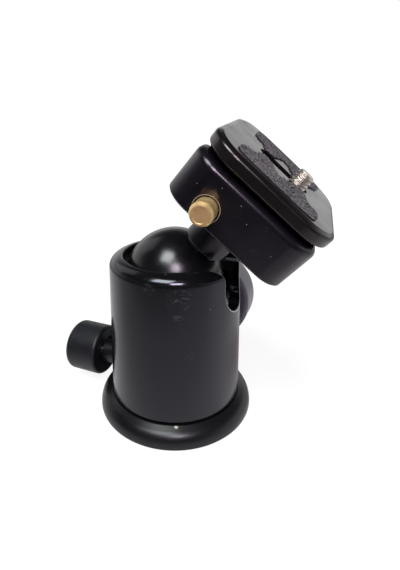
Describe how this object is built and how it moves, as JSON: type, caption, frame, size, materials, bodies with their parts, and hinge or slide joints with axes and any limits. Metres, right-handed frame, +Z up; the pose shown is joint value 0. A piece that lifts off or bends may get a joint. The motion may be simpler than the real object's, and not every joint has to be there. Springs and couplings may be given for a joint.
{
  "type": "tripod ball head",
  "caption": "Tripod ball head with a drop slot, separate ball and pan locks, and a dovetail quick-release clamp with its camera plate.",
  "frame": {"origin": "centre of the tripod socket's mouth, in the plane the base rests on", "axes": "+Z up along the pan axis, +X towards the drop slot and the leaning stem, +Y towards the main lock knob"},
  "size_m": [0.1101, 0.0879, 0.1194],
  "materials": {
    "satin_black": "satin",
    "gloss_black": "gloss",
    "knob_black": "matte",
    "machined_alloy": "satin",
    "plated_steel": "satin",
    "dark_steel": "satin",
    "brass": "satin",
    "nickel": "gloss",
    "pad_rubber": "matte",
    "nylon": "satin"
  },
  "bodies": {
    "base": {"base_disc": "gloss_black", "pan_spindle": "machined_alloy", "base_screws": "dark_steel", "thread_insert": "plated_steel", "pan_washer_lower": "nylon", "pan_washer_upper": "nylon", "retaining_ring": "dark_steel"},
    "housing": {"housing": "satin_black", "bottom_plug": "machined_alloy", "seat_ring": "nylon", "floor_plate": "machined_alloy", "main_collar": "satin_black", "pan_collar": "satin_black"},
    "cup": {"ball_cup": "nylon"},
    "wedge": {"lift_wedge": "brass"},
    "main_lock": {"main_spindle": "plated_steel", "main_knob": "knob_black", "main_cap": "knob_black"},
    "shoe": {"pan_shoe": "brass"},
    "pan_lock": {"pan_stud": "plated_steel", "pan_knob": "knob_black"},
    "ball": {"ball": "gloss_black", "stem": "gloss_black", "stem_bolt": "dark_steel", "stem_washer": "plated_steel"},
    "clamp": {"clamp_body": "gloss_black", "jaw_guide_pins": "plated_steel", "jaw_springs": "plated_steel", "lever_pin": "dark_steel", "button_stop_screw": "dark_steel", "button_spring": "plated_steel"},
    "jaw": {"moving_jaw": "gloss_black"},
    "lever": {"lock_lever": "gloss_black"},
    "button": {"release_button": "brass"},
    "plate": {"plate": "gloss_black", "pad_near": "pad_rubber", "pad_far": "pad_rubber"},
    "screw_carrier": {"screw_washer": "plated_steel"},
    "camera_screw": {"camera_screw": "nickel"}
  },
  "joints": [
    {"name": "pan", "type": "hinge", "parent": "base", "child": "housing", "pos_m": [0, 0, 0.015], "axis": [0, 0, 1], "continuous": true},
    {"name": "main_lock_turn", "type": "hinge", "parent": "wedge", "child": "main_lock", "pos_m": [0, 0.045, 0.033], "axis": [0, 1, 0], "range_deg": [0, 270]},
    {"name": "wedge_slide", "type": "slide", "parent": "housing", "child": "wedge", "axis": [0, 1, 0], "range_m": [0, 0.00075]},
    {"name": "cup_drop", "type": "slide", "parent": "housing", "child": "cup", "axis": [0, 0, 1], "range_m": [-0.00016, 0]},
    {"name": "pan_lock_turn", "type": "hinge", "parent": "shoe", "child": "pan_lock", "pos_m": [-0.045, 0, 0.0155], "axis": [-1, 0, 0], "range_deg": [0, 270]},
    {"name": "shoe_slide", "type": "slide", "parent": "housing", "child": "shoe", "axis": [-1, 0, 0], "range_m": [0, 0.00075]},
    {"name": "ball_tilt", "type": "hinge", "parent": "housing", "child": "ball", "pos_m": [0, 0, 0.0609], "axis": [0, 1, 0], "range_deg": [-80, 50]},
    {"name": "ball_twist", "type": "hinge", "parent": "ball", "child": "clamp", "pos_m": [0.02314, 0, 0.08848], "axis": [0.6428, 0, 0.766], "continuous": true},
    {"name": "lever_turn", "type": "hinge", "parent": "clamp", "child": "lever", "pos_m": [0.04013, 0.02595, 0.08597], "axis": [-0.6428, 0, -0.766], "range_deg": [0, 110]},
    {"name": "jaw_slide", "type": "slide", "parent": "clamp", "child": "jaw", "axis": [-0.0721, 0.9956, 0.0605], "range_m": [0, 0.0005]},
    {"name": "button_press", "type": "slide", "parent": "clamp", "child": "button", "axis": [-0.0721, 0.9956, 0.0605], "range_m": [0, 0.0025], "stiffness_N_per_m": 600, "springref_m": -0.002},
    {"name": "plate_slide", "type": "slide", "parent": "clamp", "child": "plate", "axis": [-0.7626, -0.0941, 0.6399], "range_m": [0, 0.049]},
    {"name": "screw_shift", "type": "slide", "parent": "plate", "child": "screw_carrier", "axis": [-0.7626, -0.0941, 0.6399], "range_m": [0, 0.0126]},
    {"name": "camera_screw_turn", "type": "hinge", "parent": "screw_carrier", "child": "camera_screw", "pos_m": [0.04229, 0.00078, 0.09852], "axis": [0.6428, 0, 0.766], "continuous": true}
  ],
  "couplings": [
    {"joint": "main_lock_turn", "follows": "wedge_slide", "rad_per_m": 6283.2},
    {"joint": "cup_drop", "follows": "wedge_slide", "ratio": -0.21256},
    {"joint": "pan_lock_turn", "follows": "shoe_slide", "rad_per_m": 6283.2},
    {"joint": "lever_turn", "follows": "jaw_slide", "rad_per_m": 3839.7}
  ]
}
